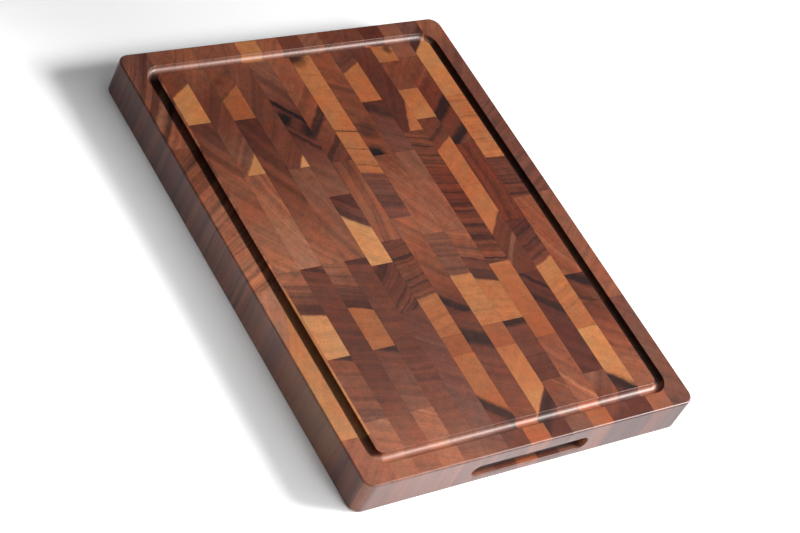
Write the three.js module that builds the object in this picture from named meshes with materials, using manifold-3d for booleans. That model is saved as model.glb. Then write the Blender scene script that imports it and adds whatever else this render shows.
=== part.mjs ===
// End-grain cutting board: fifteen glued strips of upright hardwood blocks, a half-round juice
// groove in the top and a finger grip in each end. Millimetres, +Z up, +X along the length,
// origin at the middle of the underside. Every block is its own solid, parted by its glue lines.
import * as THREE from 'three';
import { mergeVertices } from 'three/addons/utils/BufferGeometryUtils.js';
import Module from 'manifold-3d';

const boardLength = 508;
const boardWidth = 381;
const boardThickness = 40;
const cornerRadius = 12; // upright corners of the board
const edgeEase = 2; // rounding along every outer edge
const grooveInset = 24; // from the board's edge to the groove's centre line
const grooveRadius = 5; // the groove is half round: this deep and twice as wide
const grooveTurn = 12; // bend radius of the centre line at the corners
const gripLength = 134;
const gripHeight = 16.4;
const gripDepth = 12;
const gripCove = 7; // rounding between the grip's walls and its back
const gripAxisHeight = 17; // above the underside
const firstStripWidth = 32;
const stripPitch = 24.7; // the last strip takes what is left
const glueGap = 0.3;
const spare = 5; // how far a cutter stands past the board

const curveSegments = 8; // per quarter turn
const easeSegments = 3;
const grooveSides = 20; // round section of the groove's cutter

const woods = {
  dark: { color: 0x5f3527, roughness: 0.55, metalness: 0 },
  red: { color: 0x874a33, roughness: 0.55, metalness: 0 },
  tan: { color: 0x9c6040, roughness: 0.55, metalness: 0 },
  sap: { color: 0xc98a4c, roughness: 0.55, metalness: 0 },
};

// The cutting list: one row for each strip from -Y to +Y, and in it each block's far end,
// counted from the +X end of the board, with the wood that fills most of the block.
const cuttingList = [
  [[50, 'red'], [215, 'tan'], [386, 'red'], [boardLength, 'dark']],
  [[62, 'tan'], [131, 'red'], [230, 'sap'], [412, 'tan'], [boardLength, 'sap']],
  [[230, 'dark'], [343, 'tan'], [boardLength, 'red']],
  [[62, 'tan'], [131, 'dark'], [230, 'sap'], [410, 'tan'], [boardLength, 'dark']],
  [[230, 'dark'], [343, 'tan'], [boardLength, 'red']],
  [[163, 'dark'], [219, 'dark'], [304, 'sap'], [boardLength, 'dark']],
  [[243, 'sap'], [343, 'red'], [boardLength, 'red']],
  [[150, 'red'], [267, 'red'], [boardLength, 'sap']],
  [[105, 'sap'], [242, 'sap'], [343, 'tan'], [boardLength, 'red']],
  [[60, 'dark'], [131, 'dark'], [242, 'sap'], [343, 'tan'], [410, 'dark'], [boardLength, 'dark']],
  [[106, 'red'], [196, 'tan'], [366, 'dark'], [boardLength, 'dark']],
  [[178, 'dark'], [290, 'dark'], [379, 'sap'], [419, 'sap'], [boardLength, 'red']],
  [[105, 'sap'], [241, 'sap'], [341, 'red'], [boardLength, 'red']],
  [[166, 'red'], [266, 'red'], [402, 'sap'], [boardLength, 'sap']],
  [[268, 'red'], [402, 'red'], [boardLength, 'red']],
];

const wasm = await Module();
wasm.setup();

function toSolid(geometry) {
  geometry.deleteAttribute('normal');
  geometry.deleteAttribute('uv');
  const merged = mergeVertices(geometry, 1e-4);
  return new wasm.Manifold(new wasm.Mesh({
    numProp: 3,
    vertProperties: new Float32Array(merged.attributes.position.array),
    triVerts: new Uint32Array(merged.index.array),
  }));
}

function toGeometry(solid) {
  const { vertProperties, triVerts } = solid.getMesh();
  const geometry = new THREE.BufferGeometry();
  geometry.setAttribute('position', new THREE.BufferAttribute(vertProperties, 3));
  geometry.setIndex(new THREE.BufferAttribute(triVerts, 1));
  geometry.computeVertexNormals();
  return geometry;
}

function roundedRectangle(halfX, halfY, radius) {
  const shape = new THREE.Shape();
  shape.moveTo(halfX, -halfY + radius);
  shape.absarc(halfX - radius, halfY - radius, radius, 0, Math.PI / 2);
  shape.absarc(-halfX + radius, halfY - radius, radius, Math.PI / 2, Math.PI);
  shape.absarc(-halfX + radius, -halfY + radius, radius, Math.PI, 1.5 * Math.PI);
  shape.absarc(halfX - radius, -halfY + radius, radius, 1.5 * Math.PI, 2 * Math.PI);
  return shape;
}

// The board before its groove, grips and glue lines.
function slab() {
  const geometry = new THREE.ExtrudeGeometry(
    roundedRectangle(boardLength / 2, boardWidth / 2, cornerRadius),
    {
      depth: boardThickness - 2 * edgeEase,
      bevelSize: edgeEase,
      bevelThickness: edgeEase,
      bevelOffset: -edgeEase,
      bevelSegments: easeSegments,
      curveSegments,
    },
  );
  return toSolid(geometry.translate(0, 0, edgeEase));
}

// A round bar bent into a closed loop, centred in the plane of the top.
function grooveCutter() {
  const halfX = boardLength / 2 - grooveInset;
  const halfY = boardWidth / 2 - grooveInset;
  const stations = [];
  for (const [signX, signY, start] of [[1, 1, 0], [-1, 1, 1], [-1, -1, 2], [1, -1, 3]]) {
    for (let step = 0; step <= curveSegments; step += 1) {
      const angle = (start + step / curveSegments) * Math.PI / 2;
      stations.push({
        outward: new THREE.Vector3(Math.cos(angle), Math.sin(angle), 0),
        turnCentre: new THREE.Vector3(
          signX * (halfX - grooveTurn), signY * (halfY - grooveTurn), boardThickness),
      });
    }
  }
  const points = [];
  for (const { outward, turnCentre } of stations) {
    for (let side = 0; side < grooveSides; side += 1) {
      const angle = side / grooveSides * 2 * Math.PI;
      points.push(turnCentre.clone()
        .addScaledVector(outward, grooveTurn + grooveRadius * Math.cos(angle))
        .add(new THREE.Vector3(0, 0, grooveRadius * Math.sin(angle))));
    }
  }
  const index = [];
  for (let station = 0; station < stations.length; station += 1) {
    const here = station * grooveSides;
    const there = (station + 1) % stations.length * grooveSides;
    for (let side = 0; side < grooveSides; side += 1) {
      const next = (side + 1) % grooveSides;
      index.push(here + side, there + side, there + next);
      index.push(here + side, there + next, here + next);
    }
  }
  const geometry = new THREE.BufferGeometry().setFromPoints(points);
  geometry.setIndex(index);
  return toSolid(geometry);
}

// A long round-ended pocket with a coved back, cut inward from the end at direction +1 or -1.
function gripCutter(direction) {
  const straight = gripLength / 2 - gripHeight / 2;
  const outline = new THREE.Shape();
  outline.absarc(straight, 0, gripHeight / 2, -Math.PI / 2, Math.PI / 2);
  outline.absarc(-straight, 0, gripHeight / 2, Math.PI / 2, 1.5 * Math.PI);
  const geometry = new THREE.ExtrudeGeometry(outline, {
    depth: gripDepth - gripCove + spare,
    bevelSize: gripCove,
    bevelThickness: gripCove,
    bevelOffset: -gripCove,
    bevelSegments: curveSegments / 2,
    curveSegments,
  });
  geometry.rotateX(Math.PI / 2).rotateZ(direction * Math.PI / 2);
  geometry.translate(direction * (boardLength / 2 - gripDepth + gripCove), 0, gripAxisHeight);
  return toSolid(geometry);
}

// The room between a block's glue lines; a face at the board's edge stands past it.
function blockRoom(lowX, highX, lowY, highY) {
  const shrink = (value, limit, sign) => (
    Math.abs(value - sign * limit) < 1e-6 ? value + sign * spare : value - sign * glueGap / 2);
  const x0 = shrink(lowX, boardLength / 2, -1);
  const x1 = shrink(highX, boardLength / 2, 1);
  const y0 = shrink(lowY, boardWidth / 2, -1);
  const y1 = shrink(highY, boardWidth / 2, 1);
  const geometry = new THREE.BoxGeometry(x1 - x0, y1 - y0, boardThickness + 2 * spare);
  return toSolid(geometry.translate((x0 + x1) / 2, (y0 + y1) / 2, boardThickness / 2));
}

const blank = slab()
  .subtract(grooveCutter())
  .subtract(gripCutter(1))
  .subtract(gripCutter(-1));

const board = new THREE.Group();
cuttingList.forEach((blocks, strip) => {
  const lowY = strip === 0 ? -boardWidth / 2
    : -boardWidth / 2 + firstStripWidth + (strip - 1) * stripPitch;
  const highY = strip === cuttingList.length - 1 ? boardWidth / 2
    : -boardWidth / 2 + firstStripWidth + strip * stripPitch;
  let highX = boardLength / 2;
  blocks.forEach(([farEnd, wood], block) => {
    const lowX = boardLength / 2 - farEnd;
    const solid = blank.intersect(blockRoom(lowX, highX, lowY, highY));
    const mesh = new THREE.Mesh(toGeometry(solid), new THREE.MeshStandardMaterial(woods[wood]));
    mesh.name = `strip_${String(strip + 1).padStart(2, '0')}_block_${block + 1}`;
    board.add(mesh);
    highX = lowX;
  });
});

export default board;
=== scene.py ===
# End-grain board of glued upright blocks, with a juice groove and a finger grip in each end
import math
import random

import bmesh
import bpy
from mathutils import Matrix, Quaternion, Vector


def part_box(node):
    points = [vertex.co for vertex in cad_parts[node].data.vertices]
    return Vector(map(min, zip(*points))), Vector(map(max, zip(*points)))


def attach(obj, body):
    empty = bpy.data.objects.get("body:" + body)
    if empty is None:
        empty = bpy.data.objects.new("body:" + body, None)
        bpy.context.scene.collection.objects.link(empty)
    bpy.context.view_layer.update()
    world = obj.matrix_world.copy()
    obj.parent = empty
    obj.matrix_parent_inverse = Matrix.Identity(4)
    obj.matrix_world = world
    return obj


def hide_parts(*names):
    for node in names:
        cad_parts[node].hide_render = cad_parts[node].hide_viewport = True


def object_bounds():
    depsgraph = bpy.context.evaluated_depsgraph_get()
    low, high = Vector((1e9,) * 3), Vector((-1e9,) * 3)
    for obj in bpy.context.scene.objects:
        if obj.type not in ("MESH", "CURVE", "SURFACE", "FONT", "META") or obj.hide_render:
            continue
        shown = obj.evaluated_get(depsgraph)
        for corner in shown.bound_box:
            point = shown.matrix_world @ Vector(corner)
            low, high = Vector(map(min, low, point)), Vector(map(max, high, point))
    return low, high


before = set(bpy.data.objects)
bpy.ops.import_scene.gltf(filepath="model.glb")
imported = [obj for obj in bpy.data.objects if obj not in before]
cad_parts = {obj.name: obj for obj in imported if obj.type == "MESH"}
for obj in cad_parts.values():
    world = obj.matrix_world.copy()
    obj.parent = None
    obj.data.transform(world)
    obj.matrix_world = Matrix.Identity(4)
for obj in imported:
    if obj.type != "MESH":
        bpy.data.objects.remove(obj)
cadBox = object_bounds()
low, high = cadBox
mm = 0.001
boardHeight = high.z - low.z
print("frame loaded:", len(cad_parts), "nodes")

# Colours of the oiled wood, as red, green and blue from 0 to 255 on a screen
tones = {
    "umber": (82, 38, 28), "cocoa": (94, 46, 32), "mahogany": (98, 42, 27), "walnut": (101, 52, 37),
    "plum": (104, 60, 48), "ash": (108, 65, 50), "chestnut": (110, 57, 38), "brown": (119, 70, 52),
    "russet": (127, 66, 43), "copper": (134, 76, 53), "fawn": (143, 84, 59), "tan": (154, 93, 65),
    "clay": (160, 103, 76), "rust": (141, 75, 44), "amber": (156, 89, 52), "honey": (167, 101, 60),
    "gold": (177, 115, 69), "straw": (190, 127, 80),
}

# The staves, strip by strip from the -Y side. Lengths are in millimetres.
# end: where the block stops, from the +X end. tone: heartwood from its near end to its far end.
# line: where one growth ring meets the block's two long sides. sap: (the side of that ring with
# sapwood, its tones). bands: (place, width, depth) of streaks that follow the rings, dark above 0
# and light below. rings: how clear the ring lines are. spots: (place, distance across from the
# block's -Y side, radius, depth) of knots. bow: distance to the tree's heart.
staves = [
    [
        dict(end=50, tone=("copper", "fawn"), line=(22, 60)),
        dict(end=215, tone=("fawn", "clay"), line=(137, 225), sap=("near", "gold", "honey"),
             bands=[(60, 26, -0.15)]),
        dict(end=386, tone=("tan", "fawn", "chestnut"), line=(330, 350), rings=1.6,
             bands=[(306, 4, 0.3), (318, 3, 0.25), (346, 14, 0.4), (372, 9, 0.35)]),
        dict(end=508, tone=("copper", "plum"), line=(412, 462), rings=1.4,
             bands=[(420, 6, 0.6), (438, 5, -0.3), (452, 9, 0.6), (478, 8, 0.5)]),
    ],
    [
        dict(end=62, tone=("fawn", "fawn"), line=(48, 38), bands=[(61, 3, -0.3)]),
        dict(end=131, tone=("brown", "russet"), line=(129, 122),
             bands=[(132, 9, 0.75), (70, 8, 0.25), (86, 4, 0.2)]),
        dict(end=230, tone=("walnut", "walnut", "fawn"), line=(182, 176), sap=("near", "straw"),
             bands=[(187, 14, 0.4), (200, 2, 0.5), (212, 3, 0.2)], rings=1.2),
        dict(end=412, tone=("tan", "copper", "walnut"), line=(380, 343),
             bands=[(362, 9, 0.35), (318, 7, 0.25), (402, 16, 0.35)]),
        dict(end=508, tone=("chestnut", "chestnut", "brown"), line=(447, 462), sap=("near", "gold")),
    ],
    [
        dict(end=230, tone=("copper", "cocoa", "walnut"), line=(150, 143),
             bands=[(228, 5, 0.6), (141, 14, 0.2)]),
        dict(end=343, tone=("clay", "tan", "copper"), line=(330, 250), bands=[(300, 3, -0.15)]),
        dict(end=508, tone=("brown", "walnut", "copper"), line=(338, 368), sap=("near", "gold"),
             bands=[(430, 14, 0.2)]),
    ],
    [
        dict(end=62, tone=("fawn", "fawn"), line=(48, 36), bands=[(61, 3, -0.4)]),
        dict(end=131, tone=("brown", "walnut"), line=(130, 121), bands=[(132, 9, 0.75), (90, 4, 0.2)]),
        dict(end=230, tone=("walnut", "cocoa", "fawn"), line=(180, 174), sap=("near", "amber"),
             bands=[(186, 14, 0.4), (203, 2, 0.4), (214, 3, 0.2)], rings=1.2),
        dict(end=410, tone=("fawn", "chestnut", "umber"), line=(385, 340),
             bands=[(362, 12, 0.35), (325, 9, 0.25), (400, 14, 0.3)]),
        dict(end=508, tone=("walnut", "chestnut", "brown"), line=(435, 453),
             sap=("near", "rust", "amber")),
    ],
    [
        dict(end=230, tone=("brown", "walnut", "walnut"), line=(180, 176),
             bands=[(227, 8, 0.45), (120, 20, 0.15)]),
        dict(end=343, tone=("copper", "brown"), line=(330, 250)),
        dict(end=508, tone=("walnut", "walnut", "brown"), line=(325, 357), sap=("near", "straw"),
             bands=[(430, 10, 0.2)]),
    ],
    [
        dict(end=163, tone=("ash", "plum", "walnut"), line=(150, 132), bands=[(118, 10, 0.15)]),
        dict(end=219, tone=("walnut", "cocoa"), line=(160, 182),
             bands=[(171, 3, 0.45), (180, 3, 0.4), (218, 9, 0.5)], rings=1.5),
        dict(end=304, tone=("plum", "plum", "umber"), line=(281, 262), sap=("near", "straw"),
             bands=[(276, 9, 0.3)], rings=1.4),
        dict(end=478, tone=("brown", "umber", "brown"), line=(428, 398),
             bands=[(411, 6, 0.95), (374, 5, 0.6), (448, 8, 0.3)],
             spots=[(403, 2, 10, 1.0), (385, 24, 11, 0.95)]),
        dict(end=508, tone="brown", line=(530, 530), sap=("near", "honey")),
    ],
    [
        dict(end=106, tone="cocoa", line=(60, 36), sap=("far", "rust", "amber"),
             bands=[(42, 13, 0.75)]),
        dict(end=128, tone="brown", line=(200, 200), sap=("near", "rust")),
        dict(end=243, tone=("chestnut", "chestnut", "walnut"), line=(173, 177),
             sap=("near", "amber", "honey"), bands=[(190, 3, 0.4), (222, 4, 0.5)], rings=1.5),
        dict(end=343, tone=("copper", "copper", "chestnut"), line=(180, 330), rings=1.2),
        dict(end=508, tone=("cocoa", "russet", "copper"), line=(352, 376),
             bands=[(360, 7, 0.6), (394, 11, 0.8), (425, 6, 0.3)]),
    ],
    [
        dict(end=28, tone="brown", line=(60, 60), sap=("near", "rust")),
        dict(end=150, tone=("chestnut", "walnut", "cocoa"), line=(120, 108), bands=[(120, 17, 0.8)]),
        dict(end=267, tone=("cocoa", "russet", "fawn"), line=(166, 146), bands=[(158, 10, 0.9)]),
        dict(end=480, tone=("plum", "walnut"), line=(327, 321), sap=("far", "amber", "honey"),
             bands=[(290, 12, 0.35), (334, 2, 0.4), (355, 2, 0.45), (378, 2.5, 0.7)], rings=1.3,
             spots=[(482, 3, 19, 0.9)]),
        dict(end=508, tone="walnut", line=(508, 530)),
    ],
    [
        dict(end=105, tone="umber", line=(26, 54), sap=("far", "gold", "amber"), bands=[(28, 14, 0.7)]),
        dict(end=131, tone="brown", line=(200, 200), sap=("near", "rust")),
        dict(end=242, tone=("brown", "ash", "brown"), line=(192, 190), sap=("near", "honey", "gold"),
             bands=[(228, 4, 0.4), (214, 3, 0.3), (148, 2, 0.25), (167, 2, 0.2)], rings=1.4),
        dict(end=343, tone=("fawn", "copper", "chestnut"), line=(330, 285), bands=[(310, 6, -0.1)]),
        dict(end=478, tone=("chestnut", "chestnut", "russet"), line=(362, 350), bands=[(430, 8, 0.3)],
             spots=[(345, 5, 12, 1.0), (376, 12, 14, 0.55)]),
        dict(end=508, tone="brown", line=(500, 520)),
    ],
    [
        dict(end=60, tone=("ash", "chestnut"), line=(40, 20), bands=[(59, 2, -0.3)]),
        dict(end=131, tone=("cocoa", "walnut"), line=(129, 128), bands=[(128, 8, 0.85), (76, 16, 0.2)]),
        dict(end=242, tone=("walnut", "walnut", "copper"), line=(183, 175),
             sap=("near", "honey", "amber"), bands=[(186, 14, 0.45), (205, 2, 0.4)], rings=1.3),
        dict(end=343, tone=("copper", "copper", "brown"), line=(330, 260)),
        dict(end=410, tone=("plum", "umber"), line=(408, 392), bands=[(398, 14, 0.4)]),
        dict(end=508, tone=("walnut", "walnut", "walnut"), line=(449, 463), sap=("near", "amber"),
             bands=[(468, 9, 0.25)]),
    ],
    [
        dict(end=30, tone="brown", line=(60, 60), sap=("near", "rust")),
        dict(end=106, tone=("copper", "russet"), line=(62, 32), bands=[(47, 4, -0.45)]),
        dict(end=196, tone="rust", line=(108, 104), sap=("far", "rust", "amber"),
             bands=[(194, 3, -0.3)]),
        dict(end=366, tone=("chestnut", "mahogany", "chestnut"), line=(226, 222), rings=1.8,
             bands=[(226, 9, 0.7), (242, 5, 0.5), (273, 9, 0.5), (201, 3, 0.6)]),
        dict(end=508, tone=("umber", "umber", "walnut"), line=(344, 405), sap=("near", "amber"),
             bow=1200),
    ],
    [
        dict(end=57, tone=("umber", "chestnut", "brown"), line=(30, 66), bands=[(44, 6, 0.3)]),
        dict(end=178, tone=("umber", "umber"), line=(150, 128), bands=[(140, 10, 0.7), (168, 5, 0.7)]),
        dict(end=290, tone=("cocoa", "cocoa", "walnut"), line=(228, 254), sap=("far", "honey", "amber"),
             bands=[(210, 5, -0.25)]),
        dict(end=379, tone=("walnut", "cocoa"), line=(337, 353), sap=("near", "amber"),
             bands=[(360, 4, 0.25)]),
        dict(end=419, tone="brown", line=(500, 520), sap=("near", "honey", "amber")),
        dict(end=457, tone="chestnut", line=(420, 450)),
        dict(end=508, tone="umber", line=(486, 478), sap=("near", "amber"), spots=[(474, 19, 6, 0.7)]),
    ],
    [
        dict(end=30, tone="umber", line=(20, 30)),
        dict(end=105, tone="umber", line=(51, 31), sap=("far", "honey", "gold"),
             bands=[(36, 14, 0.85)]),
        dict(end=241, tone=("cocoa", "walnut", "umber"), line=(182, 191), sap=("near", "amber", "gold"),
             bands=[(226, 4, 0.5), (211, 3, 0.4), (133, 2, 0.25), (150, 2, 0.25)], rings=1.6),
        dict(end=341, tone=("mahogany", "mahogany"), line=(150, 330), rings=1.2),
        dict(end=460, tone=("cocoa", "mahogany", "chestnut"), line=(344, 362),
             bands=[(352, 11, 0.9), (388, 14, 0.9), (425, 5, 0.3)]),
        dict(end=508, tone="brown", line=(506, 512), sap=("near", "brown")),
    ],
    [
        dict(end=30, tone="brown", line=(60, 60), sap=("near", "copper")),
        dict(end=131, tone=("copper", "russet", "cocoa"), line=(110, 95), bands=[(60, 10, -0.1)]),
        dict(end=166, tone=("chestnut", "umber"), line=(164, 148),
             bands=[(160, 12, 0.95), (133, 7, 0.6)]),
        dict(end=266, tone="russet", line=(215, 165), bands=[(190, 6, -0.2)]),
        dict(end=402, tone=("cocoa", "cocoa"), line=(319, 317), sap=("far", "honey", "amber"),
             bands=[(283, 3, 0.5), (270, 4, 0.5), (343, 2, 0.3), (373, 2, 0.3)], rings=1.6),
        dict(end=508, tone=("umber", "cocoa", "plum"), line=(463, 487), sap=("near", "honey", "gold"),
             bands=[(482, 9, 0.7)]),
    ],
    [
        dict(end=131, tone=("plum", "ash", "plum"), line=(30, 8)),
        dict(end=268, tone=("copper", "brown"), line=(180, 200)),
        dict(end=402, tone="plum", line=(330, 345), rings=1.2),
        dict(end=508, tone=("plum", "plum", "copper"), line=(420, 460), bands=[(488, 9, -0.15)]),
    ],
]

# The board as it is after gluing, flattening and routing, in one closed skin
boardShape = {"cornerRadius": 12 * mm, "edgeRound": 2 * mm, "cornerSteps": 16, "roundSteps": 7}
grooveShape = {
    "inset": 24 * mm, "radius": 5 * mm, "turn": 12 * mm, "lip": 0.5 * mm, "lipSteps": 4, "steps": 22,
}
gripShape = {
    "length": 134 * mm, "height": 16.4 * mm, "depth": 12 * mm, "cove": 7 * mm, "axis": 17 * mm,
    "lip": 1.2 * mm, "lipTurn": 75, "lipSteps": 5, "past": 4 * mm, "steps": 10, "endSteps": 20,
}
glueLine = 0.06 * mm  # gap between blocks
cutTolerance = 1e-8  # metres


def arcSteps(count, turn=90):
    return [math.radians(turn * step / count) for step in range(count + 1)]


def boardLoop(inset, z, radius):  # a rounded rectangle, this far inside the board's outline
    halfX, halfY = high.x - inset - radius, high.y - inset - radius
    points = []
    for quarter, (signX, signY) in enumerate([(1, 1), (-1, 1), (-1, -1), (1, -1)]):
        for angle in arcSteps(boardShape["cornerSteps"]):
            turned = angle + quarter * math.pi / 2
            x = signX * halfX + radius * math.cos(turned)
            y = signY * halfY + radius * math.sin(turned)
            points.append(Vector((x, y, z)))
    return points


def skinLoops(bm, loops):  # faces between neighbouring loops, and a flat face on the first and last
    rows = [[bm.verts.new(point) for point in loop] for loop in loops]
    count = len(rows[0])
    for lower, upper in zip(rows, rows[1:]):
        for i in range(count):
            j = (i + 1) % count
            bm.faces.new((lower[i], lower[j], upper[j], upper[i]))
    bm.faces.new(list(reversed(rows[0])))
    bm.faces.new(rows[-1])


def boardLoops():
    corner, edge = boardShape["cornerRadius"], boardShape["edgeRound"]
    loops = []
    for angle in arcSteps(boardShape["roundSteps"]):
        inset = edge * (1 - math.sin(angle))
        loops.append(boardLoop(inset, low.z + edge * (1 - math.cos(angle)), corner - inset))
    for angle in arcSteps(boardShape["roundSteps"]):
        inset = edge * (1 - math.cos(angle))
        loops.append(boardLoop(inset, high.z - edge * (1 - math.sin(angle)), corner - inset))
    centre, radius, lip = grooveShape["inset"], grooveShape["radius"], grooveShape["lip"]
    lipTurns = arcSteps(grooveShape["lipSteps"])
    profile = [(-radius - lip + lip * math.sin(a), -lip * (1 - math.cos(a))) for a in lipTurns]
    start = math.asin(lip / radius)
    for step in range(1, grooveShape["steps"]):
        angle = start + (math.pi - 2 * start) * step / grooveShape["steps"]
        profile.append((-radius * math.cos(angle), -radius * math.sin(angle)))
    profile += [(-across, down) for across, down in reversed(profile[:len(lipTurns)])]
    for across, down in profile:
        loops.append(boardLoop(centre + across, high.z + down, grooveShape["turn"] - across))
    return loops


def gripLoop(spread, x):  # a round-ended outline in the plane of the board's end
    radius = gripShape["height"] / 2 + spread
    half = gripShape["length"] / 2 - gripShape["height"] / 2
    points = []
    for side, start in ((1, -90), (-1, 90)):
        for angle in arcSteps(gripShape["endSteps"], 180):
            turned = math.radians(start) + angle
            y = side * half + radius * math.cos(turned)
            z = low.z + gripShape["axis"] + radius * math.sin(turned)
            points.append(Vector((x, y, z)))
    return points


def gripTool(direction):
    cove, lip = gripShape["cove"], gripShape["lip"]
    back = high.x - gripShape["depth"]
    loops = [
        gripLoop(-cove * (1 - math.sin(angle)), back + cove * (1 - math.cos(angle)))
        for angle in arcSteps(gripShape["steps"])]
    turn = gripShape["lipTurn"]
    mouth = high.x - lip * math.sin(math.radians(turn))
    loops += [
        gripLoop(lip * (1 - math.cos(angle)), mouth + lip * math.sin(angle))
        for angle in arcSteps(gripShape["lipSteps"], turn)]
    loops.append(gripLoop(lip * (1 - math.cos(math.radians(turn))), high.x + gripShape["past"]))
    bm = bmesh.new()
    skinLoops(bm, loops)
    for vert in bm.verts:
        vert.co.x *= direction
    return bm


def meshObject(name, bm):
    bmesh.ops.recalc_face_normals(bm, faces=bm.faces)
    mesh = bpy.data.meshes.new(name)
    bm.to_mesh(mesh)
    bm.free()
    made = bpy.data.objects.new(name, mesh)
    bpy.context.scene.collection.objects.link(made)
    return made


def makeBlank():
    bm = bmesh.new()
    skinLoops(bm, boardLoops())
    blank = meshObject("blank", bm)
    tools = []
    for direction in (1, -1):
        tool = meshObject(f"tool{direction}", gripTool(direction))
        cut = blank.modifiers.new("grip", "BOOLEAN")
        cut.operation, cut.solver, cut.object = "DIFFERENCE", "EXACT", tool
        tools.append(tool)
    shaped = blank.evaluated_get(bpy.context.evaluated_depsgraph_get())
    result = bmesh.new()
    result.from_mesh(shaped.to_mesh())
    for helper in [blank, *tools]:
        bpy.data.meshes.remove(helper.data)
    return result


def cutAway(bm, place, normal):  # keeps what lies behind the plane and closes the cut
    bmesh.ops.bisect_plane(
        bm, geom=bm.verts[:] + bm.edges[:] + bm.faces[:], dist=cutTolerance,
        plane_co=place, plane_no=normal, clear_outer=True)
    openEdges = [edge for edge in bm.edges if edge.is_boundary]
    bmesh.ops.holes_fill(bm, edges=openEdges, sides=0)


blank = makeBlank()
print("blank shaped:", len(blank.faces), "faces")

# Each block takes its look from numbers on its mesh: where the tree's heart lay, its tones and
# its streaks
stripBoxes = [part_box(f"strip_{n + 1:02d}_block_1") for n in range(len(staves))]
seams = [low.y] + [(a[1][1] + b[0][1]) / 2 for a, b in zip(stripBoxes, stripBoxes[1:])] + [high.y]
blockLook = {
    "bow": 420, "lean": 0.05, "ringSpacing": (3.4, 5.6), "rings": 0.6, "ringVaries": (0.8, 1.2),
    "toneDrift": 0.03, "sap": ("near", "gold"), "creaseAngle": 38, "seed": 41,
}
dice = random.Random(blockLook["seed"])


def linear(tone):  # a screen colour as amounts of light
    shares = [c / 255 for c in tone]
    return [c / 12.92 if c <= 0.04045 else ((c + 0.055) / 1.055) ** 2.4 for c in shares]


def paint(mesh, name, values):
    layer = mesh.attributes.new(name, "FLOAT_VECTOR", "POINT")
    layer.data.foreach_set("vector", list(values) * len(mesh.vertices))


def paintStave(mesh, stave, start, lowY, highY, outer):
    # The named ring is an arc through two points, with the tree's heart on the far side of it
    nearSide, farSide = stave["line"]
    sap = stave.get("sap", blockLook["sap"])
    bow = stave.get("bow", blockLook["bow"])
    middle = Vector((high.x / mm - (nearSide + farSide) / 2, (lowY + highY) / 2 / mm))
    along = Vector((nearSide - farSide, (highY - lowY) / mm)).normalized()
    inward = Vector((-along.y, along.x)) * (1 if sap[0] == "near" else -1)
    heart = middle + inward * bow

    def depthAt(place):  # how far inside the named ring the block's centre line is here
        return bow - (Vector((high.x / mm - place, middle.y)) - heart).length

    heartTones = [stave["tone"]] * 3 if isinstance(stave["tone"], str) else list(stave["tone"])
    if len(heartTones) == 2:
        heartTones = [heartTones[0], None, heartTones[1]]
    drift = 1 + dice.uniform(-1, 1) * blockLook["toneDrift"]
    near, centre, away = [
        [c * drift for c in linear(tones[name])] if name else None for name in heartTones]
    centre = centre or [(a + b) / 2 for a, b in zip(near, away)]
    paint(mesh, "toneNear", near)
    paint(mesh, "toneMiddle", centre)
    paint(mesh, "toneFar", away)
    paint(mesh, "sapNear", [c * drift for c in linear(tones[sap[1]])])
    paint(mesh, "sapFar", [c * drift for c in linear(tones[sap[-1]])])
    paint(mesh, "heart", (heart.x, heart.y, bow))
    paint(mesh, "span", (high.x / mm - start, high.x / mm - stave["end"], 1 if "sap" in stave else 0))
    rings = stave.get("rings", blockLook["rings"]) * dice.uniform(*blockLook["ringVaries"])
    paint(mesh, "growth", (dice.uniform(*blockLook["ringSpacing"]), rings, dice.uniform(0, 100)))
    leanX, leanY = dice.uniform(-1, 1), dice.uniform(-1, 1)
    paint(mesh, "lean", (leanX * blockLook["lean"], leanY * blockLook["lean"], 0))
    bands = [(depthAt(place), width / 2, depth) for place, width, depth in stave.get("bands", [])]
    for letter, band in zip("ABCD", bands + [(0, 0.01, 0)] * 4):
        paint(mesh, "band" + letter, band)
    spots = stave.get("spots", [])
    spots = spots + [(0, 0, 0.01, 0)] * (2 - len(spots))
    for letter, (place, across, radius, _) in zip("AB", spots):
        paint(mesh, "spot" + letter, (high.x / mm - place, lowY / mm + across, radius))
    paint(mesh, "spotInk", (spots[0][3], spots[1][3], 0))
    edges = [value / mm for value in outer]
    paint(mesh, "seamX", (edges[0], edges[1], 0))
    paint(mesh, "seamY", (edges[2], edges[3], 0))


def finishPiece(name, bm, cadNode):
    piece = meshObject(name, bm)
    piece.data.polygons.foreach_set("use_smooth", [True] * len(piece.data.polygons))
    piece.data.set_sharp_from_angle(angle=math.radians(blockLook["creaseAngle"]))
    weighted = piece.modifiers.new("flatFaces", "WEIGHTED_NORMAL")
    weighted.keep_sharp = True
    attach(piece, "root")
    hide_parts(cadNode)
    return piece


def nodeAt(strip, x):  # the CAD node that holds this place in this strip
    names = [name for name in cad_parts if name.startswith(f"strip_{strip:02d}_")]
    return min(names, key=lambda name: abs(x - min(max(x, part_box(name)[0][0]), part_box(name)[1][0])))


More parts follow.
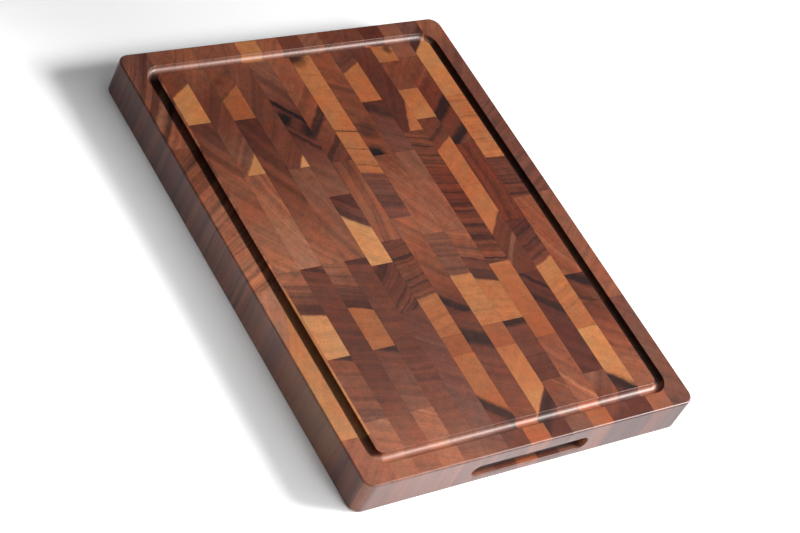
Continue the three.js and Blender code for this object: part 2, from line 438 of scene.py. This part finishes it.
pieces = []
far = 1.0  # past every edge of the board, in metres
for strip, row in enumerate(staves, 1):
    lowY, highY = seams[strip - 1], seams[strip]
    first, last = strip == 1, strip == len(staves)
    plank = blank.copy()
    if not first:
        cutAway(plank, (0, lowY + glueLine / 2, 0), (0, -1, 0))
    if not last:
        cutAway(plank, (0, highY - glueLine / 2, 0), (0, 1, 0))
    start = 0
    for number, stave in enumerate(row, 1):
        nearX, farX = high.x - start * mm, high.x - stave["end"] * mm
        block = plank.copy()
        if start > 0:
            cutAway(block, (nearX - glueLine / 2, 0, 0), (1, 0, 0))
        if number < len(row):
            cutAway(block, (farX + glueLine / 2, 0, 0), (-1, 0, 0))
        node = nodeAt(strip, (nearX + farX) / 2)
        piece = finishPiece(f"stave_{strip:02d}_{number}", block, node)
        outer = (
            -far if number == len(row) else farX, far if start == 0 else nearX,
            -far if first else lowY, far if last else highY)
        paintStave(piece.data, stave, start, lowY, highY, outer)
        pieces.append(piece)
        start = stave["end"]
    plank.free()
blank.free()
print("staves cut:", len(pieces))


class Bench:  # short names for the nodes that the wood is made of
    def __init__(self, material):
        self.tree = material.node_tree
        self.nodes, self.links = self.tree.nodes, self.tree.links

    def put(self, socket, value):
        if isinstance(value, bpy.types.NodeSocket):
            self.links.new(value, socket)
        elif value is not None:
            socket.default_value = value

    def math(self, operation, a, b=None, clamp=False):
        node = self.nodes.new("ShaderNodeMath")
        node.operation, node.use_clamp = operation, clamp
        self.put(node.inputs[0], a)
        self.put(node.inputs[1], b)
        return node.outputs[0]

    def vector(self, operation, a, b=None, scale=None):
        node = self.nodes.new("ShaderNodeVectorMath")
        node.operation = operation
        self.put(node.inputs[0], a)
        self.put(node.inputs[1], b)
        if scale is not None:
            self.put(node.inputs["Scale"], scale)
        return node.outputs["Value" if operation in ("DISTANCE", "LENGTH", "DOT_PRODUCT") else "Vector"]

    def join(self, x, y, z):
        node = self.nodes.new("ShaderNodeCombineXYZ")
        for socket, value in zip(node.inputs, (x, y, z)):
            self.put(socket, value)
        return node.outputs[0]

    def split(self, vector):
        node = self.nodes.new("ShaderNodeSeparateXYZ")
        self.put(node.inputs[0], vector)
        return node.outputs

    def numbers(self, name):
        node = self.nodes.new("ShaderNodeAttribute")
        node.attribute_name = name
        return node.outputs["Vector"]

    def noise(self, vector, scale, detail=2.0, roughness=0.5, w=0.0, dimensions="4D"):
        node = self.nodes.new("ShaderNodeTexNoise")
        node.noise_dimensions = dimensions
        if dimensions != "1D":
            self.put(node.inputs["Vector"], vector)
        if dimensions in ("1D", "4D"):
            self.put(node.inputs["W"], w)
        self.put(node.inputs["Scale"], scale)
        self.put(node.inputs["Detail"], detail)
        self.put(node.inputs["Roughness"], roughness)
        return node.outputs

    def ramp(self, value, start, stop, first=0.0, last=1.0):  # smooth step from start to stop
        node = self.nodes.new("ShaderNodeMapRange")
        node.interpolation_type = "SMOOTHSTEP"
        names = ("Value", "From Min", "From Max", "To Min", "To Max")
        for name, number in zip(names, (value, start, stop, first, last)):
            self.put(node.inputs[name], number)
        return node.outputs[0]

    def mix(self, factor, a, b, blend="MIX"):
        node = self.nodes.new("ShaderNodeMix")
        node.data_type, node.blend_type = "RGBA", blend
        self.put(node.inputs["Factor"], factor)
        for socket, value in ((node.inputs[6], a), (node.inputs[7], b)):
            self.put(socket, (*value, 1) if isinstance(value, (tuple, list)) else value)
        return node.outputs[2]

    def darkened(self, shade, mask, amount):  # takes this share off the shade where the mask is 1
        kept = self.math("SUBTRACT", 1.0, self.math("MULTIPLY", mask, amount))
        return self.math("MULTIPLY", shade, kept)


woodLook = {
    # Growth rings: how far they wander, and how dark each year and ring line is
    "warp": 2.6, "warpScale": 1 / 26, "fineWarp": 1.1, "fineWarpScale": 1 / 6,
    "ringDark": 0.16, "ringDarkSap": 0.4, "yearLength": 11.0, "yearScale": 1.3,
    "broadBands": 1.25, "broadBandsSap": 0.36, "fibreStretch": 0.06, "sapEdge": 1.3,
    # Streaks and knots
    "ragged": 4.0, "raggedScale": 0.16, "spotRagged": 12.0, "patchy": 2.8, "patchScale": 0.2,
    "darkStreak": linear((27, 15, 15)), "lightStreak": linear((176, 116, 84)),
    # Mottle, rays, sanding marks and pores
    "mottle": 0.5, "mottleScale": 1 / 7, "fleck": 0.42, "fleckScale": 1.1, "calmSap": 0.75,
    "rays": 0.16, "rayWidth": 1.3, "rayLength": 0.11, "sanding": 0.22, "sandingLength": 0.07,
    "poreSize": 0.13, "poreScale": 0.85, "poreDark": 0.5,
    # Redder and greyer patches, and dark wood that is duller than light wood
    "hue": 0.36, "hueScale": 1 / 20, "shadePowers": (1.05, 0.9, 0.75), "darkest": 0.05,
    # The sides, painted shade in the groove's long runs and the grips, painted light in the groove's
    # end runs, and the glue
    "sidePlain": 0.7, "sideToneAndPaintedSheen": linear((78, 52, 51)), "longGroovePaintedShade": 0.6,
    "endGroovePaintedLight": 0.1, "endGrooveGloss": 0.4, "endGrooveRough": 0.13, "gripPaintedShade": 0.85,
    "hiddenGloss": 0.3, "glueDark": 0.35, "glueWidth": 0.30,
    # Finish
    "roughness": 0.36, "fleckRough": 0.3, "poreRough": 0.2, "gloss": 0.5,
    "glossTint": (1.0, 0.96, 0.93), "bump": 0.30, "bumpDepth": 0.00025,
}


def buildWood():
    look = woodLook
    material = bpy.data.materials.new("oiledEndGrain")
    material.use_nodes = True
    b = Bench(material)
    place = b.vector("SCALE", b.nodes.new("ShaderNodeTexCoord").outputs["Object"], scale=1 / mm)
    realX, realY, z = b.split(place)
    leanX, leanY, _ = b.split(b.numbers("lean"))
    spacing, contrast, seed = b.split(b.numbers("growth"))
    below = b.math("SUBTRACT", z, boardHeight / mm)  # 0 on the top face, negative under it
    x = b.math("ADD", realX, b.math("MULTIPLY", below, leanX))
    y = b.math("ADD", realY, b.math("MULTIPLY", below, leanY))
    # The fibres stand upright, so looks change slowly with z
    spot = b.join(x, y, b.math("MULTIPLY", z, look["fibreStretch"]))

    # Growth rings: distance from the tree's heart, with a slow wander and a fine one
    moved = spot
    for scale, reach in ((look["warpScale"], look["warp"]), (look["fineWarpScale"], look["fineWarp"])):
        wander = b.vector("SUBTRACT", b.noise(spot, scale, 2, w=seed)["Color"], (0.5, 0.5, 0.5))
        moved = b.vector("ADD", moved, b.vector("SCALE", wander, scale=2 * reach))
    movedX, movedY, _ = b.split(moved)
    heartX, heartY, bow = b.split(b.numbers("heart"))
    radius = b.vector("DISTANCE", b.join(movedX, movedY, 0.0), b.join(heartX, heartY, 0.0))
    depth = b.math("SUBTRACT", bow, radius)

    # Heartwood changes from near to far, and sapwood lies outside the named ring
    nearX, farX, hasSap = b.split(b.numbers("span"))
    along = b.math("DIVIDE", b.math("SUBTRACT", nearX, x), b.math("SUBTRACT", nearX, farX), clamp=True)
    heartwood = b.mix(b.ramp(along, 0.0, 0.5), b.numbers("toneNear"), b.numbers("toneMiddle"))
    heartwood = b.mix(b.ramp(along, 0.5, 1.0), heartwood, b.numbers("toneFar"))
    sapwood = b.mix(along, b.numbers("sapNear"), b.numbers("sapFar"))
    sap = b.math("MULTIPLY", b.ramp(depth, look["sapEdge"], -look["sapEdge"]), hasSap)
    colour = b.mix(sap, heartwood, sapwood)

    # Early wood darkens into a thin late-wood line, and whole years differ
    yearPlace = b.math("ADD", b.math("DIVIDE", radius, look["yearLength"]), seed)
    sway = b.noise(None, 1.0, 1, w=yearPlace, dimensions="1D")["Fac"]
    ringPlace = b.math("ADD", b.math("DIVIDE", radius, spacing), b.math("MULTIPLY", sway, 2.0))
    saw = b.math("FRACT", ringPlace)
    late = b.math("MULTIPLY", b.ramp(saw, 0.3, 0.92), b.ramp(saw, 1.0, 0.93))
    ringDark = b.math("MULTIPLY", b.math("MULTIPLY", late, contrast), look["ringDark"])
    ringDark = b.math("MULTIPLY", ringDark, b.ramp(sap, 0.0, 1.0, 1.0, look["ringDarkSap"]))
    years = b.noise(None, look["yearScale"], 3, 0.55, w=yearPlace, dimensions="1D")["Fac"]
    plainer = b.math("ADD", 0.4, b.math("MULTIPLY", contrast, 0.45))
    years = b.math("MULTIPLY", b.math("SUBTRACT", years, 0.5), plainer)
    inSapwood = b.ramp(sap, 0.0, 1.0, look["broadBands"], look["broadBandsSap"])
    years = b.math("MULTIPLY", years, inSapwood)
    shade = b.math("SUBTRACT", b.math("ADD", 1.0, years), ringDark)

    # Streaks that follow the rings, and knots
    ragged = b.math("SUBTRACT", b.noise(spot, look["raggedScale"], 3, 0.6, w=seed)["Fac"], 0.5)
    streakDepth = b.math("ADD", depth, b.math("MULTIPLY", ragged, look["ragged"]))
    patches = b.noise(spot, look["patchScale"], 3, 0.6, w=b.math("ADD", seed, 7.0))["Fac"]
    patchy = b.math("MULTIPLY", patches, look["patchy"])
    patchy = b.math("MINIMUM", b.math("SUBTRACT", patchy, 0.25), 1.0)
    for name in ("bandA", "bandB", "bandC", "bandD"):
        middle, halfWidth, strength = b.split(b.numbers(name))
        ratio = b.math("DIVIDE", b.math("ABSOLUTE", b.math("SUBTRACT", streakDepth, middle)), halfWidth)
        inside = b.math("MULTIPLY", b.ramp(ratio, 1.35, 0.45), patchy)
        dark = b.math("MULTIPLY", inside, b.math("MAXIMUM", strength, 0.0))
        light = b.math("MULTIPLY", inside, b.math("MAXIMUM", b.math("MULTIPLY", strength, -1.0), 0.0))
        colour = b.mix(light, b.mix(dark, colour, look["darkStreak"]), look["lightStreak"])
    inks = b.split(b.numbers("spotInk"))
    for name, ink in (("spotA", inks[0]), ("spotB", inks[1])):
        spotX, spotY, spotRadius = b.split(b.numbers(name))
        away = b.vector("DISTANCE", b.join(movedX, movedY, 0.0), b.join(spotX, spotY, 0.0))
        away = b.math("ADD", away, b.math("MULTIPLY", ragged, look["spotRagged"]))
        inside = b.ramp(b.math("DIVIDE", away, spotRadius), 1.25, 0.4)
        colour = b.mix(b.math("MULTIPLY", inside, ink), colour, look["darkStreak"])

    # Mottle, rays that run across the rings, and pores that are tubes along the fibre
    calm = b.ramp(sap, 0.0, 1.0, 1.0, look["calmSap"])
    cloud = b.noise(spot, look["mottleScale"], 5, 0.62, w=seed)["Fac"]
    cloud = b.math("MULTIPLY", b.math("SUBTRACT", cloud, 0.5), calm)
    shade = b.math("ADD", shade, b.math("MULTIPLY", cloud, look["mottle"] * 2))
    angle = b.math("ARCTAN2", b.math("SUBTRACT", movedY, heartY), b.math("SUBTRACT", movedX, heartX))
    rayAcross = b.math("MULTIPLY", b.math("MULTIPLY", angle, bow), look["rayWidth"])
    rayPlace = b.join(rayAcross, b.math("MULTIPLY", radius, look["rayLength"]), 0.0)
    ray = b.noise(rayPlace, 1.0, 3, 0.65, w=seed)["Fac"]
    shade = b.math("ADD", shade, b.math("MULTIPLY", b.math("SUBTRACT", ray, 0.5), look["rays"] * 2))
    fleck = b.noise(spot, look["fleckScale"], 2, 0.5, w=seed)["Fac"]
    grainy = b.math("MULTIPLY", b.math("SUBTRACT", fleck, 0.5), calm)
    shade = b.math("ADD", shade, b.math("MULTIPLY", grainy, look["fleck"] * 2))
    acrossSanding = b.math("ADD", x, b.math("MULTIPLY", y, 0.8))
    alongSanding = b.math("MULTIPLY", b.math("SUBTRACT", y, x), look["sandingLength"])
    sanded = b.noise(b.join(acrossSanding, alongSanding, 0.0), 1.0, 2, 0.5, w=1.0)["Fac"]
    sanded = b.math("SUBTRACT", sanded, 0.5)
    shade = b.math("ADD", shade, b.math("MULTIPLY", sanded, look["sanding"] * 2))
    cells = b.nodes.new("ShaderNodeTexVoronoi")
    b.put(cells.inputs["Vector"], spot)
    b.put(cells.inputs["Scale"], look["poreScale"])
    sparse = b.ramp(b.split(cells.outputs["Color"])[0], 0.35, 0.6)
    pore = b.ramp(cells.outputs["Distance"], look["poreSize"] * 1.5, look["poreSize"] * 0.7)
    pore = b.math("MULTIPLY", pore, sparse)
    shade = b.darkened(shade, pore, look["poreDark"])

    # The sides are plainer than the top. The long runs of the groove and the depths of the grips get
    # painted shade, and the groove's end runs get painted light and more gloss. past is the distance
    # beyond the board's outline, so it is negative inside
    past = b.math("MAXIMUM", b.math("SUBTRACT", b.math("ABSOLUTE", realX), high.x / mm),
                  b.math("SUBTRACT", b.math("ABSOLUTE", realY), high.y / mm))
    side = b.ramp(past, -1.6, -0.4)
    # The side tone is the side grain's own plainer colour, with a grey-purple cast that is partly
    # painted sheen
    colour = b.mix(b.math("MULTIPLY", side, look["sidePlain"]), colour, look["sideToneAndPaintedSheen"])
    routed = b.math("MULTIPLY", b.ramp(below, -0.05, -0.8), b.ramp(below, -7.0, -6.0))
    routed = b.math("MULTIPLY", routed, b.ramp(past, -12.0, -14.0))
    grooveEnd = high.x / mm - grooveShape["inset"] / mm
    endRun = b.math("MULTIPLY", routed, b.ramp(b.math("ABSOLUTE", realX), grooveEnd - 9, grooveEnd - 4))
    longRun = b.math("SUBTRACT", routed, endRun)
    grip = b.math("MULTIPLY", b.ramp(past, -1.5, -8.0), b.ramp(below, -12.0, -14.0))

    # Redder and greyer patches, then a thin dark line of glue along each seam
    hue = b.math("SUBTRACT", b.noise(spot, look["hueScale"], 2, 0.5, w=seed)["Fac"], 0.5)
    hue = b.math("MULTIPLY", hue, look["hue"])
    blue = b.math("SUBTRACT", 1.0, b.math("MULTIPLY", hue, 2.0))
    red, green = b.math("ADD", 1.0, hue), b.math("SUBTRACT", 1.0, hue)
    colour = b.vector("MULTIPLY", colour, b.join(red, green, blue))
    # Painted shade darkens the groove's long runs and the grips, and painted light lightens the
    # groove's end runs
    shade = b.darkened(shade, longRun, look["longGroovePaintedShade"])
    shade = b.darkened(shade, endRun, -look["endGroovePaintedLight"])
    shade = b.darkened(shade, grip, look["gripPaintedShade"])
    seamGaps = []
    for name, value in (("seamX", realX), ("seamY", realY)):
        lowSeam, highSeam, _ = b.split(b.numbers(name))
        toLow, toHigh = b.math("SUBTRACT", value, lowSeam), b.math("SUBTRACT", highSeam, value)
        seamGaps.append(b.math("MINIMUM", toLow, toHigh))
    glue = b.ramp(b.math("MINIMUM", *seamGaps), look["glueWidth"], 0.05)
    shade = b.math("MAXIMUM", b.darkened(shade, glue, look["glueDark"]), look["darkest"])
    redShade, greenShade, blueShade = (b.math("POWER", shade, power) for power in look["shadePowers"])
    colour = b.vector("MULTIPLY", colour, b.join(redShade, greenShade, blueShade))

    shader = b.nodes["Principled BSDF"]
    b.put(shader.inputs["Base Color"], colour)
    rough = b.math("ADD", look["roughness"], b.math("MULTIPLY", pore, look["poreRough"]))
    rough = b.math("ADD", rough, b.math("MULTIPLY", b.math("SUBTRACT", fleck, 0.5), look["fleckRough"]))
    rough = b.math("ADD", rough, b.math("MULTIPLY", endRun, look["endGrooveRough"]))
    b.put(shader.inputs["Roughness"], rough)
    gloss = b.math("ADD", look["gloss"], b.math("MULTIPLY", endRun, look["endGrooveGloss"]))
    hidden = b.math("MULTIPLY", b.math("ADD", longRun, grip), look["gloss"] * (1 - look["hiddenGloss"]))
    gloss = b.math("SUBTRACT", gloss, hidden)
    b.put(shader.inputs["Specular IOR Level"], gloss)
    shader.inputs["Specular Tint"].default_value = (*look["glossTint"], 1)
    relief = b.math("SUBTRACT", b.math("MULTIPLY", ray, 0.35), pore)
    relief = b.math("SUBTRACT", relief, b.math("MULTIPLY", late, 0.25))
    bump = b.nodes.new("ShaderNodeBump")
    b.put(bump.inputs["Height"], relief)
    bump.inputs["Strength"].default_value = look["bump"]
    bump.inputs["Distance"].default_value = look["bumpDepth"]
    b.put(shader.inputs["Normal"], bump.outputs["Normal"])
    return material


wood = buildWood()
for piece in pieces:
    piece.data.materials.append(wood)
print("wood laid on")

# Pale floor, soft studio light and the camera
studio = {
    "floorSize": 14.0, "floorGap": 0.2 * mm, "floorTone": (0.93, 0.93, 0.94), "floorRoughness": 0.7,
    "world": (0.92, 0.94, 1.0), "worldStrength": 0.02,
    "key": {"place": (0.9, 1.7, 1.3), "aim": (0, 0, 0), "size": (0.9, 0.9), "power": 104},
    "above": {"place": (0.1, 0.1, 2.4), "aim": (0.1, 0.1, 0), "size": (1.4, 1.4), "power": 8},
    "sheen": {"place": (-0.5, 0.8, 1.5), "aim": (0.1, -0.1, 0), "size": (0.5, 0.5), "power": 1.2},
    "floorPool": {
        "place": (0.62, -0.04, 0.4), "aim": (0.52, -0.05, 0), "size": (0.3, 0.3),
        "power": 1.75, "spread": 64},
    "sidePool": {
        "place": (0.0, -0.47, 0.4), "aim": (0.0, -0.40, 0), "size": (0.66, 0.12),
        "power": 0.8, "spread": 60},
    "tone": (1.0, 1.0, 0.99),
}
view = {
    "azimuth": 37.75, "elevation": 43.05, "distance": 2.081, "roll": 30.16,
    "lens": 99.97, "sensor": 36, "aim": (0.0283, -0.0139, 0.02),
}


def makeFloor():
    bm = bmesh.new()
    bmesh.ops.create_grid(bm, x_segments=2, y_segments=2, size=studio["floorSize"] / 2)
    floor = meshObject("floor", bm)
    floor.location.z = low.z - studio["floorGap"]
    material = bpy.data.materials.new("paleFloor")
    material.use_nodes = True
    shader = material.node_tree.nodes["Principled BSDF"]
    shader.inputs["Base Color"].default_value = (*studio["floorTone"], 1)
    shader.inputs["Roughness"].default_value = studio["floorRoughness"]
    floor.data.materials.append(material)


def makeLamp(name):
    setting = studio[name]
    lamp = bpy.data.lights.new(name, "AREA")
    lamp.shape = "ELLIPSE"
    lamp.size, lamp.size_y = setting["size"]
    lamp.energy, lamp.color = setting["power"], studio["tone"]
    lamp.spread = math.radians(setting.get("spread", 180))
    made = bpy.data.objects.new(name, lamp)
    made.location = setting["place"]
    toAim = Vector(setting["aim"]) - Vector(setting["place"])
    made.rotation_euler = toAim.to_track_quat("-Z", "Y").to_euler()
    bpy.context.scene.collection.objects.link(made)


def makeCamera():
    azimuth, elevation = math.radians(view["azimuth"]), math.radians(view["elevation"])
    level = math.cos(elevation)
    back = Vector((math.sin(azimuth) * level, -math.cos(azimuth) * level, math.sin(elevation)))
    data = bpy.data.cameras.new("camera")
    data.lens, data.sensor_width = view["lens"], view["sensor"]
    camera = bpy.data.objects.new("camera", data)
    camera.location = Vector(view["aim"]) + back * view["distance"]
    upright = (-back).to_track_quat("-Z", "Y")
    camera.rotation_mode = "QUATERNION"
    camera.rotation_quaternion = upright @ Quaternion((0, 0, 1), math.radians(view["roll"]))
    bpy.context.scene.collection.objects.link(camera)
    bpy.context.scene.camera = camera


makeFloor()
for name in ("key", "above", "sheen", "floorPool", "sidePool"):
    makeLamp(name)
makeCamera()
world = bpy.data.worlds.new("studio")
world.use_nodes = True
sky = world.node_tree.nodes["Background"]
sky.inputs["Color"].default_value = (*studio["world"], 1)
sky.inputs["Strength"].default_value = studio["worldStrength"]
bpy.context.scene.world = world
bpy.context.scene.view_settings.view_transform = "Standard"
print("studio set")
